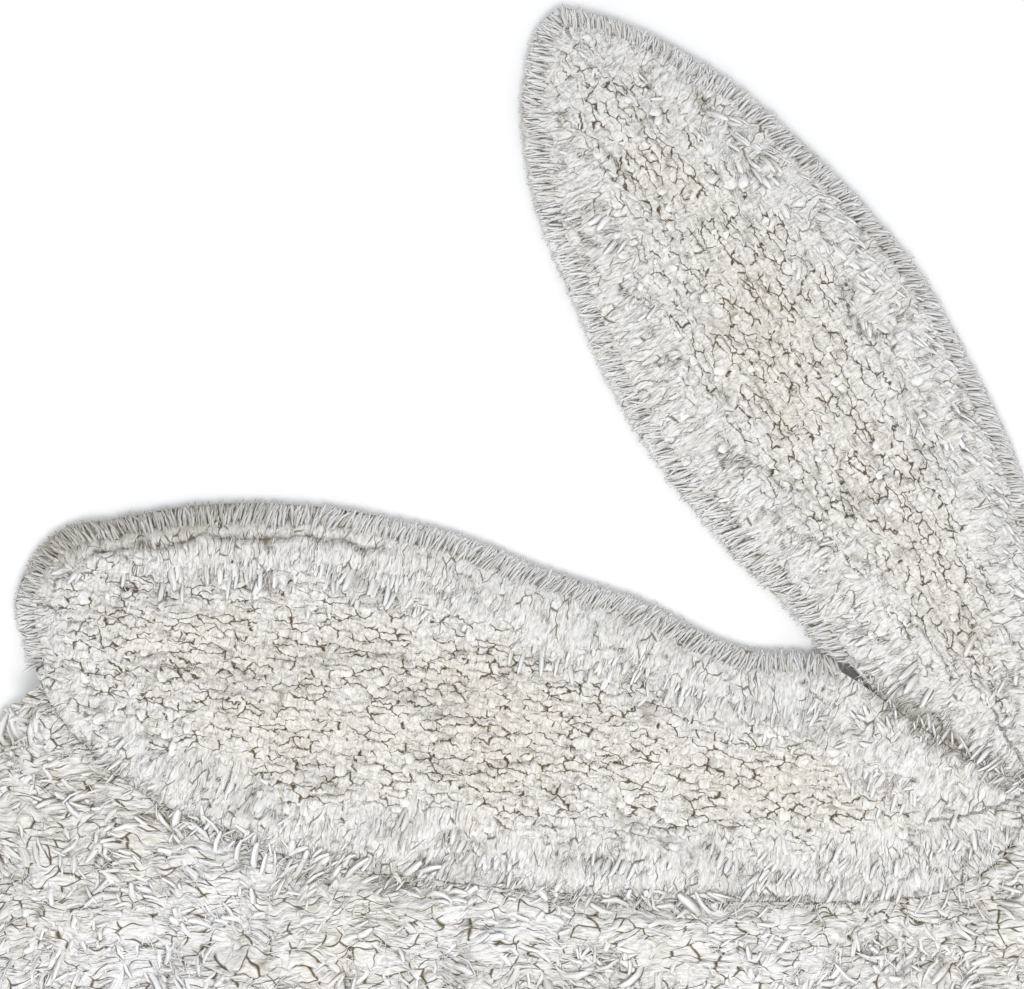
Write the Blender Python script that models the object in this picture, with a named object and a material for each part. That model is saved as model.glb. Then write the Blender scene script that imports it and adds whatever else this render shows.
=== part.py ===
"""A rabbit-shaped shag rug, seen from its right side: a body panel with the head, and two ear panels.

Metres, +Z up, +X towards the nose, +Y towards the far ear's tip. The origin is the centre of the underside.
Every panel is a lumpy slab of pile that lies flat on the floor, with pointed locks along its free edges.
"""

import math

import bmesh
import bpy
import numpy as np
from mathutils import Vector, noise
from mathutils.geometry import delaunay_2d_cdt

# Where the middle of the underside lies on the drawing that the outlines below use
DRAWING_CENTRE = (-0.0035, 0.0035)

# Pile
EAR_PILE = 0.027
BODY_PILE = 0.030
EDGE_HEIGHT = 0.013
EDGE_ROLL = 0.034
SEAM_HEIGHT = 0.019
SEAM_ROLL = 0.016
PANEL_GAP = 0.0003

# Lumps: length along the panel's grain, width across it, and height from hollow to crest
EAR_LUMP = (0.052, 0.027, 0.011)
BODY_LUMP = (0.046, 0.034, 0.014)
LUMP_SPACING = 0.0155
LUMP_JITTER = 0.35
LUMP_JITTER_SCALE = 90.0
LUMP_CLEARANCE = 0.62 * LUMP_SPACING
LUMP_CONTRAST = 2.2
LUMP_SLICE = 0.5

# Locks at the free edges
EAR_LOCK_WIDTH = 0.0125
EAR_LOCK_LENGTH = 0.012
BODY_LOCK_WIDTH = 0.0138
BODY_LOCK_LENGTH = 0.019
LOCK_SWAY = 0.45
LOCK_SWAY_SCALE = 300.0
LOCK_SHARE = 0.95
LOCK_SPREAD = 0.35
LOCK_CLEARANCE = 0.011
FREE_AFTER = 0.030

# Ears, as far as the tips of the pile reach: tip and base on the drawing,
# then half widths along the line between them
NEAR_EAR_TIP = (-0.347, 0.099)
NEAR_EAR_BASE = (0.262, -0.015)
NEAR_EAR_ROWS = [
    # along, upper half, lower half
    (0.006, 0.029, 0.018),
    (0.022, 0.050, 0.036),
    (0.050, 0.061, 0.068),
    (0.100, 0.079, 0.097),
    (0.160, 0.090, 0.114),
    (0.210, 0.092, 0.119),
    (0.260, 0.089, 0.117),
    (0.310, 0.079, 0.114),
    (0.370, 0.071, 0.108),
    (0.430, 0.055, 0.100),
    (0.490, 0.051, 0.090),
    (0.540, 0.029, 0.080),
    (0.580, 0.012, 0.066),
    (0.607, 0.005, 0.042),
]

FAR_EAR_TIP = (-0.020, 0.459)
FAR_EAR_BASE = (0.270, -0.015)
FAR_EAR_ROWS = [
    # along, right half, left half
    (0.006, 0.009, 0.020),
    (0.022, 0.025, 0.037),
    (0.050, 0.045, 0.057),
    (0.100, 0.070, 0.077),
    (0.160, 0.088, 0.087),
    (0.210, 0.099, 0.094),
    (0.260, 0.105, 0.095),
    (0.310, 0.102, 0.090),
    (0.360, 0.098, 0.080),
    (0.410, 0.087, 0.064),
    (0.450, 0.072, 0.055),
    (0.500, 0.045, 0.045),
    (0.540, 0.018, 0.025),
]

# Body and head, as far as the tips of the pile reach:
# a smooth line through these places, clockwise from the crown
BODY_LANDMARKS = [
    # place, x, y
    ("crown behind the ears", 0.262, 0.070),
    ("crown", 0.318, 0.099),
    ("forehead", 0.384, 0.093),
    ("brow", 0.450, 0.057),
    ("muzzle", 0.504, -0.003),
    ("nose", 0.533, -0.057),
    ("lip", 0.526, -0.099),
    ("chin", 0.486, -0.135),
    ("throat", 0.422, -0.170),
    ("chest", 0.405, -0.225),
    ("lower chest", 0.410, -0.290),
    ("wrist", 0.412, -0.340),
    ("front paw", 0.446, -0.368),
    ("front toes", 0.480, -0.402),
    ("front claws", 0.472, -0.438),
    ("front sole", 0.430, -0.454),
    ("front heel", 0.345, -0.456),
    ("elbow", 0.290, -0.438),
    ("belly", 0.240, -0.412),
    ("hind toes", 0.184, -0.432),
    ("hind sole", 0.120, -0.455),
    ("hind foot", 0.000, -0.460),
    ("hock", -0.150, -0.459),
    ("haunch", -0.300, -0.441),
    ("lower rump", -0.404, -0.399),
    ("tail root below", -0.465, -0.347),
    ("tail below", -0.516, -0.327),
    ("tail", -0.541, -0.283),
    ("tail above", -0.525, -0.238),
    ("tail root above", -0.489, -0.216),
    ("rump", -0.489, -0.160),
    ("loin", -0.466, -0.090),
    ("back", -0.420, -0.024),
    ("shoulder line", -0.354, 0.030),
    ("back under the ear tip", -0.320, 0.051),
    ("back under the near ear", -0.190, 0.070),
    ("neck under the near ear", 0.040, 0.045),
    ("nape under the near ear", 0.180, 0.010),
    ("nape under the far ear", 0.240, 0.024),
]

# Accuracy of the outlines and of the triangles between them
SMOOTH_STEPS = 24
PROBE_STEP = 1e-5
SAME_PLACE = 1e-6

# Without a seed, Blender's vector noise differs from run to run
NOISE_SEED = 7

COTTON_ROUGHNESS = 0.95


def smooth_loop(points, pitch):
    """Even points, about pitch apart, on a closed smooth curve through the given points."""
    knots = [Vector(p) for p in points]
    count = len(knots)
    fine = []
    for i in range(count):
        before, start, end, after = (knots[(i + k) % count] for k in (-1, 0, 1, 2))
        chord = (end - start).length
        start_slope = (end - before).normalized() * chord
        end_slope = (after - start).normalized() * chord
        for step in range(SMOOTH_STEPS):
            t = step / SMOOTH_STEPS
            fine.append(
                start * (2 * t**3 - 3 * t**2 + 1)
                + start_slope * (t**3 - 2 * t**2 + t)
                + end * (3 * t**2 - 2 * t**3)
                + end_slope * (t**3 - t**2)
            )
    fine = np.array(fine)
    steps = np.linalg.norm(np.roll(fine, -1, axis=0) - fine, axis=1)
    along = np.concatenate(([0.0], np.cumsum(steps)))
    closed = np.vstack((fine, fine[:1]))
    cells = round(along[-1] / pitch)
    places = np.arange(cells) * along[-1] / cells
    return np.column_stack([np.interp(places, along, closed[:, axis]) for axis in (0, 1)])


def ear_outline(tip, base, rows, pitch):
    """The outline of an ear: its tip, one side down to the base, and the other side back."""
    tip = Vector(tip) - Vector(DRAWING_CENTRE)
    base = Vector(base) - Vector(DRAWING_CENTRE)
    run = (base - tip).normalized()
    side = Vector((-run.y, run.x))
    first_side = [tip + run * along + side * first for along, first, second in rows]
    second_side = [tip + run * along - side * second for along, first, second in rows]
    return smooth_loop([tip, *first_side, base, *reversed(second_side)], pitch)


def body_outline(pitch):
    centre = Vector(DRAWING_CENTRE)
    return smooth_loop([Vector((x, y)) - centre for place, x, y in BODY_LANDMARKS], pitch)


def is_inside(points, outline):
    """Which points lie inside a closed outline."""
    ends = np.roll(outline, -1, axis=0)
    inside = np.zeros(len(points), dtype=bool)
    for (ax, ay), (bx, by) in zip(outline, ends):
        crosses = (ay > points[:, 1]) != (by > points[:, 1])
        if ay != by:
            reach = ax + (points[:, 1] - ay) * (bx - ax) / (by - ay)
            inside ^= crosses & (points[:, 0] < reach)
    return inside


def distance_to(points, outline):
    """How far each point lies from a closed outline."""
    nearest = np.full(len(points), np.inf)
    for start, end in zip(outline, np.roll(outline, -1, axis=0)):
        span = end - start
        share = np.clip((points - start) @ span / (span @ span), 0.0, 1.0)
        gap = np.linalg.norm(points - start - share[:, None] * span, axis=1)
        nearest = np.minimum(nearest, gap)
    return nearest


def grown(outline, by):
    """The outline moved outwards by a small distance."""
    run = np.roll(outline, -1, axis=0) - np.roll(outline, 1, axis=0)
    run /= np.linalg.norm(run, axis=1)[:, None]
    side = np.column_stack((run[:, 1], -run[:, 0]))
    probe = outline + side * PROBE_STEP
    if is_inside(probe, outline).mean() > 0.5:
        side = -side
    return outline + side * by


def drawn_in(outline, others, by):
    """The outline moved inwards where it is free, and left where another panel borders it."""
    share = np.ones(len(outline))
    for other in others:
        away = np.where(is_inside(outline, other), 0.0, distance_to(outline, other))
        share = np.minimum(share, np.clip(away / FREE_AFTER, 0.0, 1.0))
    return grown(outline, -by * share[:, None])


def lump(point, grain, size):
    """Smooth noise from -1 to 1 that is stretched along the grain."""
    along = (point[0] * grain[0] + point[1] * grain[1]) / size[0]
    across = (point[1] * grain[0] - point[0] * grain[1]) / size[1]
    return max(-1.0, min(1.0, noise.noise(Vector((along, across, LUMP_SLICE))) * LUMP_CONTRAST))


def roll(distance, reach):
    """A quarter round, from 0 at the edge to 1 at its reach."""
    return np.sqrt(1.0 - (1.0 - np.clip(distance / reach, 0.0, 1.0)) ** 2)


def lump_places(outline, holes):
    """A staggered grid of places inside the outline, clear of its edge and of the holes."""
    low, high = outline.min(axis=0), outline.max(axis=0)
    row_pitch = LUMP_SPACING * math.sqrt(3) / 2
    places = []
    for row, y in enumerate(np.arange(low[1], high[1], row_pitch)):
        stagger = (row % 2) * LUMP_SPACING / 2
        places += [(x, y) for x in np.arange(low[0] + stagger, high[0], LUMP_SPACING)]
    places = np.array(places)
    shift = [noise.noise_vector(Vector((x, y, 0.0)) * LUMP_JITTER_SCALE)[:2] for x, y in places]
    places += np.array(shift) * LUMP_SPACING * LUMP_JITTER
    keep = is_inside(places, outline) & (distance_to(places, outline) > LUMP_CLEARANCE)
    for hole in holes:
        keep &= ~is_inside(places, hole) & (distance_to(places, hole) > LUMP_CLEARANCE)
    return places[keep]


def triangulated(outline, holes):
    """The plan of a panel as triangles: points and triples of their numbers."""
    points = []
    edges = []
    for loop in (outline, *holes):
        first = len(points)
        points += [Vector(p) for p in loop]
        edges += [(first + k, first + (k + 1) % len(loop)) for k in range(len(loop))]
    points += [Vector(p) for p in lump_places(outline, holes)]
    plan, _, triangles, *_ = delaunay_2d_cdt(points, edges, [], 0, SAME_PLACE)
    plan = np.array([tuple(p) for p in plan])
    middles = np.array([plan[list(t)].mean(axis=0) for t in triangles])
    keep = is_inside(middles, outline)
    for hole in holes:
        keep &= ~is_inside(middles, hole)
    return plan, [t for t, kept in zip(triangles, keep) if kept]


def pile_heights(plan, outline, holes, pile, grain, lump_size):
    """The height of the pile at each point: rolled down at edges and seams, with lumps in between."""
    at_edge = distance_to(plan, outline)
    edge = EDGE_HEIGHT + (pile - EDGE_HEIGHT) * roll(at_edge, EDGE_ROLL)
    rise = lump_size[2] / 2
    lumps = np.array([lump(p, grain, lump_size) for p in plan]) * rise
    height = edge + lumps * np.clip(at_edge / EDGE_ROLL, 0.0, 1.0)
    for hole in holes:
        at_seam = distance_to(plan, hole)
        seam = SEAM_HEIGHT + (pile + rise - SEAM_HEIGHT) * roll(at_seam, SEAM_ROLL)
        height = np.minimum(height, seam)
    return height


def add_locks(bm, rim, length, others):
    """Pull each free face of the rim out to a point on the floor, unless it would meet another panel."""
    free = []
    tips = []
    for face in rim:
        middle = face.calc_center_median()
        out = Vector((face.normal.x, face.normal.y)).normalized()
        turn, grow = noise.noise_vector(middle * LOCK_SWAY_SCALE)[:2]
        sway = Vector((-out.y, out.x)) * turn * LOCK_SWAY
        tip = middle.xy + (out + sway) * length * (LOCK_SHARE + LOCK_SPREAD * grow)
        spot = np.array([tip])
        within = any(is_inside(spot, other)[0] for other in others)
        close = any(distance_to(spot, other)[0] < LOCK_CLEARANCE for other in others)
        if not within and not close:
            free.append(face)
            tips.append(tip)
    for face, tip in zip(free, tips):
        centre = bmesh.ops.poke(bm, faces=[face])["verts"][0]
        centre.co = (tip.x, tip.y, 0.0)
    return len(free)


def panel(name, outline, holes, others, shape, material, collection):
    """One panel of pile: a lumpy slab on a flat underside, with locks along its free edges."""
    plan, triangles = triangulated(outline, holes)
    heights = pile_heights(plan, outline, holes, shape["pile"], shape["grain"], shape["lump"])
    bm = bmesh.new()
    verts = [bm.verts.new((x, y, z)) for (x, y), z in zip(plan, heights)]
    for triangle in triangles:
        bm.faces.new([verts[k] for k in triangle])
    bmesh.ops.delete(bm, geom=[v for v in bm.verts if not v.link_faces], context="VERTS")

    border = [edge for edge in bm.edges if edge.is_boundary]
    wall = bmesh.ops.extrude_edge_only(bm, edges=border)["geom"]
    floor_verts = [item for item in wall if isinstance(item, bmesh.types.BMVert)]
    for vert in floor_verts:
        vert.co.z = 0.0
    rim = [item for item in wall if isinstance(item, bmesh.types.BMFace)]
    bmesh.ops.contextual_create(bm, geom=[e for e in bm.edges if e.is_boundary])
    bmesh.ops.recalc_face_normals(bm, faces=bm.faces)
    count = add_locks(bm, rim, shape["lock"], others)
    bmesh.ops.recalc_face_normals(bm, faces=bm.faces)

    mesh = bpy.data.meshes.new(name)
    bm.to_mesh(mesh)
    bm.free()
    mesh.materials.append(material)
    obj = bpy.data.objects.new(name, mesh)
    collection.objects.link(obj)
    print(name, "locks", count, "triangles", sum(len(p.vertices) - 2 for p in mesh.polygons))
    return obj


def cotton(name, colour):
    material = bpy.data.materials.new(name)
    material.use_nodes = True
    shader = material.node_tree.nodes["Principled BSDF"]
    shader.inputs["Base Color"].default_value = (*colour, 1.0)
    shader.inputs["Roughness"].default_value = COTTON_ROUGHNESS
    shader.inputs["Metallic"].default_value = 0.0
    material.diffuse_color = (*colour, 1.0)
    return material


def grain_of(tip, base):
    run = (Vector(base) - Vector(tip)).normalized()
    return (run.x, run.y)


def main():
    noise.seed_set(NOISE_SEED)
    for obj in list(bpy.data.objects):
        bpy.data.objects.remove(obj, do_unlink=True)
    collection = bpy.data.collections.new("rabbit_rug")
    bpy.context.scene.collection.children.link(collection)

    body_reach = body_outline(BODY_LOCK_WIDTH)
    near_reach = ear_outline(NEAR_EAR_TIP, NEAR_EAR_BASE, NEAR_EAR_ROWS, EAR_LOCK_WIDTH)
    far_reach = ear_outline(FAR_EAR_TIP, FAR_EAR_BASE, FAR_EAR_ROWS, EAR_LOCK_WIDTH)
    near = drawn_in(near_reach, [body_reach, far_reach], EAR_LOCK_LENGTH)
    far = drawn_in(far_reach, [body_reach, near_reach], EAR_LOCK_LENGTH)
    body = drawn_in(body_reach, [near_reach, far_reach], BODY_LOCK_LENGTH)
    near_hole = grown(near, PANEL_GAP)
    far_hole = grown(far, PANEL_GAP)

    plush = cotton("ear_plush", (0.71, 0.68, 0.63))
    far_plush = cotton("far_ear_plush", (0.68, 0.65, 0.61))
    shag = cotton("body_shag", (0.78, 0.76, 0.74))

    ear_shape = {"pile": EAR_PILE, "lump": EAR_LUMP, "lock": EAR_LOCK_LENGTH}
    near_shape = dict(ear_shape, grain=grain_of(NEAR_EAR_TIP, NEAR_EAR_BASE))
    far_shape = dict(ear_shape, grain=grain_of(FAR_EAR_TIP, FAR_EAR_BASE))
    body_shape = {"pile": BODY_PILE, "lump": BODY_LUMP, "lock": BODY_LOCK_LENGTH, "grain": (1.0, 0.0)}
    panel("near_ear", near, [], [body_reach, far_reach], near_shape, plush, collection)
    panel("far_ear", far, [near_hole], [body_reach, near_reach], far_shape, far_plush, collection)
    panel("body", body, [near_hole, far_hole], [near_reach, far_reach], body_shape, shag, collection)


main()
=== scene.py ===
"""The looks of the rabbit-shaped shag rug.

Each panel gets a woven ground cloth and, on it, matted yarn that is patterned with tufts. Flat locks,
a fringe at the free rims and loose fibres lie over that. The outlines repeat those of the solids.
All measures are in metres.
"""

import math

import bpy
import bmesh
import numpy as np
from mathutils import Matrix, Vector, noise
from mathutils.geometry import delaunay_2d_cdt


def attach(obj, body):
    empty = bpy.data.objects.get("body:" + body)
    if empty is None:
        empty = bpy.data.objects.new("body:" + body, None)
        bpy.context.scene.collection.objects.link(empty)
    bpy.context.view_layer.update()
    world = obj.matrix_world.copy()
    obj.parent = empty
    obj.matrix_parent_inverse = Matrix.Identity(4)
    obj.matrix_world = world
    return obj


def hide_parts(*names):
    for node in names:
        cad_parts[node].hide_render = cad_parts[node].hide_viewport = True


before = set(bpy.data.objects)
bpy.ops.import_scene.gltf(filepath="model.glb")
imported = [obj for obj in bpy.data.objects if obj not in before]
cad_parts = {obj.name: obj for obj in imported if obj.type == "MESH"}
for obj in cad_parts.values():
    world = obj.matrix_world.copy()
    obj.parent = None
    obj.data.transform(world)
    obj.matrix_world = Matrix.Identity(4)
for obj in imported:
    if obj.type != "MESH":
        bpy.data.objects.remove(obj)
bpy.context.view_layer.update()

# Outlines of the solids, and how the pile rises from their border
DRAWING_CENTRE = (-0.0035, 0.0035)
EDGE_HEIGHT = 0.013
EDGE_ROLL = 0.034
SEAM_HEIGHT = 0.0258
SEAM_ROLL = 0.016
LUMP_CONTRAST = 2.2
FREE_AFTER = 0.030
FREE_GAP = (0.004, 0.016)
BORDER_PROBE = 0.0012
PANEL_GAP = 0.0003
OVERHANG = 1.02


NEAR_EAR_TIP = (-0.347, 0.099)
NEAR_EAR_BASE = (0.262, -0.015)
NEAR_EAR_ROWS = [
    # along, upper half, lower half
    (0.006, 0.029, 0.018),
    (0.022, 0.050, 0.036),
    (0.050, 0.061, 0.068),
    (0.100, 0.079, 0.097),
    (0.160, 0.090, 0.114),
    (0.210, 0.092, 0.119),
    (0.260, 0.089, 0.117),
    (0.310, 0.079, 0.114),
    (0.370, 0.071, 0.108),
    (0.430, 0.055, 0.100),
    (0.490, 0.051, 0.090),
    (0.540, 0.029, 0.080),
    (0.580, 0.012, 0.066),
    (0.607, 0.005, 0.042),
]

FAR_EAR_TIP = (-0.020, 0.459)
FAR_EAR_BASE = (0.270, -0.015)
FAR_EAR_ROWS = [
    # along, right half, left half
    (0.006, 0.009, 0.020),
    (0.022, 0.025, 0.037),
    (0.050, 0.045, 0.057),
    (0.100, 0.070, 0.077),
    (0.160, 0.088, 0.087),
    (0.210, 0.099, 0.094),
    (0.260, 0.105, 0.095),
    (0.310, 0.102, 0.090),
    (0.360, 0.098, 0.080),
    (0.410, 0.087, 0.064),
    (0.450, 0.072, 0.055),
    (0.500, 0.045, 0.045),
    (0.540, 0.018, 0.025),
]

BODY_LANDMARKS = [
    # place, x, y
    ("crown behind the ears", 0.262, 0.070),
    ("crown", 0.318, 0.099),
    ("forehead", 0.384, 0.093),
    ("brow", 0.450, 0.057),
    ("muzzle", 0.504, -0.003),
    ("nose", 0.533, -0.057),
    ("lip", 0.526, -0.099),
    ("chin", 0.486, -0.135),
    ("throat", 0.422, -0.170),
    ("chest", 0.405, -0.225),
    ("lower chest", 0.410, -0.290),
    ("wrist", 0.412, -0.340),
    ("front paw", 0.446, -0.368),
    ("front toes", 0.480, -0.402),
    ("front claws", 0.472, -0.438),
    ("front sole", 0.430, -0.454),
    ("front heel", 0.345, -0.456),
    ("elbow", 0.290, -0.438),
    ("belly", 0.240, -0.412),
    ("hind toes", 0.184, -0.432),
    ("hind sole", 0.120, -0.455),
    ("hind foot", 0.000, -0.460),
    ("hock", -0.150, -0.459),
    ("haunch", -0.300, -0.441),
    ("lower rump", -0.404, -0.399),
    ("tail root below", -0.465, -0.347),
    ("tail below", -0.516, -0.327),
    ("tail", -0.541, -0.283),
    ("tail above", -0.525, -0.238),
    ("tail root above", -0.489, -0.216),
    ("rump", -0.489, -0.160),
    ("loin", -0.466, -0.090),
    ("back", -0.420, -0.024),
    ("shoulder line", -0.354, 0.030),
    ("back under the ear tip", -0.320, 0.051),
    ("back under the near ear", -0.190, 0.070),
    ("neck under the near ear", 0.040, 0.045),
    ("nape under the near ear", 0.180, 0.010),
    ("nape under the far ear", 0.240, 0.024),
]
SMOOTH_STEPS = 24
BLOCK = 4096
OUTLINE_PITCH = 0.004

# Ground cloth, and the matted yarn on it that the locks lie on
CLOTH_THICKNESS = 0.003
CLOTH_PITCH = 0.020
MAT_FLOOR = 0.002
MAT_LEAST = 0.002
MAT_SHORT_OF_RIM = 0.16
PAST_BORDER_SHARE = 0.4
FINE_STEPS = 4
CRACK_DROP = 0.0026
CRACK_WIDTH = 0.085
CRACK_SHADE = 0.50
CREASE_WIDTH = 0.0018
CREASE_DROP = 0.0060
CREASE_SHADE = 0.5

# Soft noise: cells of its table, and for each use how much, how large its features are, and its seed
NOISE_CELLS = 97
MAT_RELIEF = [(0.0008, 0.006, 41)]
BODY_RELIEF = [(0.0014, 0.011, 45), (0.0007, 0.024, 46)]
MAT_SHADE = [(0.08, 0.008, 44)]
RAGGED_RIM = [(0.012, 0.016, 61), (0.006, 0.006, 62)]
PARTING_SWAY = [(0.003, 0.012, 131)]
COARSE_DASH = 0.055
CRACK_FADE = 0.1
PARTING_FADE = 0.03
CREASE_START = (0.03, 0.05)
CREASE_SIDE = (0.0, 0.01)

# Ears: how thick the inner locks and the rim locks stand, and where the ones end and the others begin
INNER_PITCH = (0.0056, 0.0040)
INNER_JITTER = 0.30
INNER_UP_TO = (0.30, 0.80)
INNER_SHARE = 0.08
RIM_PITCH = 0.0037
RIM_JITTER = 0.35
RIM_FROM = (0.20, 0.70)
RIM_SHARE = 0.18
RIM_WIDTH = 0.034
RIM_WIDTH_AT_TIP = 0.002
RIM_WIDENING = 0.24
RIM_FADE = 0.008
FRINGE_DEPTHS = (0.0015, 0.005, 0.010)
SHAG_FRINGE_DEPTHS = (0.001, 0.005)
DEPTH_SPREAD = (0.3, 1.6)
SHAG_JITTER = 0.40
MAT_JITTER = 0.25
MAT_CLEARANCE = 0.6
MAT_SEED = 5
LEVEL = 0.90

# Locks and fibres: how far they lie over a seam, how uneven they are, and how fine their grain is
OVER_SEAM = 0.003
OVER_REACH = 0.010
UNEVEN = 0.16
GRAIN_STRETCH = 0.12
LENGTHS = (0.75, 1.2)
REACHES = (0.80, 1.06)
BEND_AT = 0.45
STRAIGHT_BEND = 0.62
LEAST_BEND = 0.001
TIP_CURL = 0.4
LOFTS = (-0.5, 1.0)
WIDE_SWAY = 0.15
THICKNESSES = (0.8, 1.2)
LEAST_HEIGHT = (0.0012, 0.0045)
THINNED_TO = (0.008, 0.020)
FIBRE_TRIES = 9
FIBRE_SINK = 0.0015
FIBRE_BEND = 0.16
FIBRE_LENGTHS = (0.6, 1.3)
FIBRE_WIDTHS = (0.7, 1.3)
BEND_LIFTS = (0.2, 1.3)
TIP_LIFTS = (-0.6, 0.8)

# Photograph: size of its frame, what one pixel measures, and where the drawing's zero lies in it
PHOTO_SIZE = (1024, 989)
PIXEL = 0.0006
DRAWING_ZERO_PIXEL = (590, 765)
CAMERA_ELEVATION = math.radians(88)
CAMERA_DISTANCE = 1.7
SENSOR_WIDTH = 0.036

# Studio
CAMERA_AIM_HEIGHT = 0.0135
FLOOR_SIZE = 8.0
FLOOR_HEIGHT = -0.0006
LAMP_SIZE = (1.2, 0.8)
LAMP_POWER = 19.0
LAMP_COLOUR = (1.0, 0.985, 0.96)
LAMP_PLACE = (0.10, -0.75, 1.9)
SKY_COLOUR = (0.95, 0.97, 1.0, 1.0)
SKY_STRENGTH = 0.86

# Seeds of the body's locks, and of the way that all of them lie
BODY_SEED = 300
BODY_LEAN_SEED = 309


def smooth_loop(points, pitch):
    """Even points, about pitch apart, on a closed smooth curve through the given points."""
    knots = [Vector(p) for p in points]
    count = len(knots)
    fine = []
    for i in range(count):
        before, start, end, after = (knots[(i + k) % count] for k in (-1, 0, 1, 2))
        chord = (end - start).length
        start_slope = (end - before).normalized() * chord
        end_slope = (after - start).normalized() * chord
        for step in range(SMOOTH_STEPS):
            t = step / SMOOTH_STEPS
            fine.append(
                start * (2 * t**3 - 3 * t**2 + 1)
                + start_slope * (t**3 - 2 * t**2 + t)
                + end * (3 * t**2 - 2 * t**3)
                + end_slope * (t**3 - t**2)
            )
    fine = np.array(fine)
    steps = np.linalg.norm(np.roll(fine, -1, axis=0) - fine, axis=1)
    along = np.concatenate(([0.0], np.cumsum(steps)))
    closed = np.vstack((fine, fine[:1]))
    cells = round(along[-1] / pitch)
    places = np.arange(cells) * along[-1] / cells
    return np.column_stack([np.interp(places, along, closed[:, axis]) for axis in (0, 1)])


def ear_outline(tip, base, rows, pitch):
    """The outline of an ear: its tip, one side down to the base, and the other side back."""
    tip = Vector(tip) - Vector(DRAWING_CENTRE)
    base = Vector(base) - Vector(DRAWING_CENTRE)
    run = (base - tip).normalized()
    side = Vector((-run.y, run.x))
    first_side = [tip + run * along + side * first for along, first, second in rows]
    second_side = [tip + run * along - side * second for along, first, second in rows]
    return smooth_loop([tip, *first_side, base, *reversed(second_side)], pitch)


def body_outline(pitch):
    centre = Vector(DRAWING_CENTRE)
    return smooth_loop([Vector((x, y)) - centre for place, x, y in BODY_LANDMARKS], pitch)


def is_inside(points, outline):
    """Which points lie inside a closed outline."""
    ends = np.roll(outline, -1, axis=0)
    inside = np.zeros(len(points), dtype=bool)
    for (ax, ay), (bx, by) in zip(outline, ends):
        crosses = (ay > points[:, 1]) != (by > points[:, 1])
        if ay != by:
            reach = ax + (points[:, 1] - ay) * (bx - ax) / (by - ay)
            inside ^= crosses & (points[:, 0] < reach)
    return inside


def outward(outline):
    """The way out of a closed outline at each of its points."""
    run = np.roll(outline, -1, axis=0) - np.roll(outline, 1, axis=0)
    run /= np.linalg.norm(run, axis=1)[:, None]
    side = np.column_stack((run[:, 1], -run[:, 0]))
    return -side if is_inside(outline + side * 1e-5, outline).mean() > 0.5 else side


def nearest(points, marks):
    """The number of the nearest mark to each point, and how far it is."""
    found = np.empty(len(points), dtype=int)
    away = np.empty(len(points))
    for first in range(0, len(points), BLOCK):
        block = points[first : first + BLOCK]
        square = ((block[:, None, :] - marks[None, :, :]) ** 2).sum(axis=2)
        best = square.argmin(axis=1)
        found[first : first + BLOCK] = best
        away[first : first + BLOCK] = np.sqrt(square[np.arange(len(block)), best])
    return found, away


def drawn_in(outline, others, by):
    """The outline moved inwards where it is free, and left where another panel borders it."""
    share = np.ones(len(outline))
    for other in others:
        away = np.where(is_inside(outline, other), 0.0, nearest(outline, other)[1])
        share = np.minimum(share, np.clip(away / FREE_AFTER, 0.0, 1.0))
    return outline - outward(outline) * by * share[:, None]


def smooth_step(value, low, high):
    """0 below low, 1 above high and a soft rise in between."""
    share = np.clip((value - low) / (high - low), 0.0, 1.0)
    return share * share * (3 - 2 * share)


def soft_noise(points, size, seed):
    """Smooth noise from -1 to 1 over the plan, with features about as large as size."""
    table = np.random.default_rng(seed).uniform(-1.0, 1.0, (NOISE_CELLS, NOISE_CELLS))
    at = points / np.asarray(size)
    cell = np.floor(at).astype(int)
    part = at - cell
    part = part * part * (3 - 2 * part)
    x0, y0 = cell[:, 0] % NOISE_CELLS, cell[:, 1] % NOISE_CELLS
    x1, y1 = (x0 + 1) % NOISE_CELLS, (y0 + 1) % NOISE_CELLS
    near = table[x0, y0] * (1 - part[:, 0]) + table[x1, y0] * part[:, 0]
    far = table[x0, y1] * (1 - part[:, 0]) + table[x1, y1] * part[:, 0]
    return near * (1 - part[:, 1]) + far * part[:, 1]


def layered(points, layers):
    """The sum of some layers of soft noise."""
    return sum(amount * soft_noise(points, size, seed) for amount, size, seed in layers)


def columns(*values):
    return np.column_stack(values)


def noise_pair(places, size, seed):
    return columns(soft_noise(places, size, seed), soft_noise(places, size, seed + 1))


def roll(distance, reach):
    """A quarter round, from 0 at the edge to 1 at its reach."""
    return np.sqrt(1.0 - (1.0 - np.clip(distance / reach, 0.0, 1.0)) ** 2)


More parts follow.
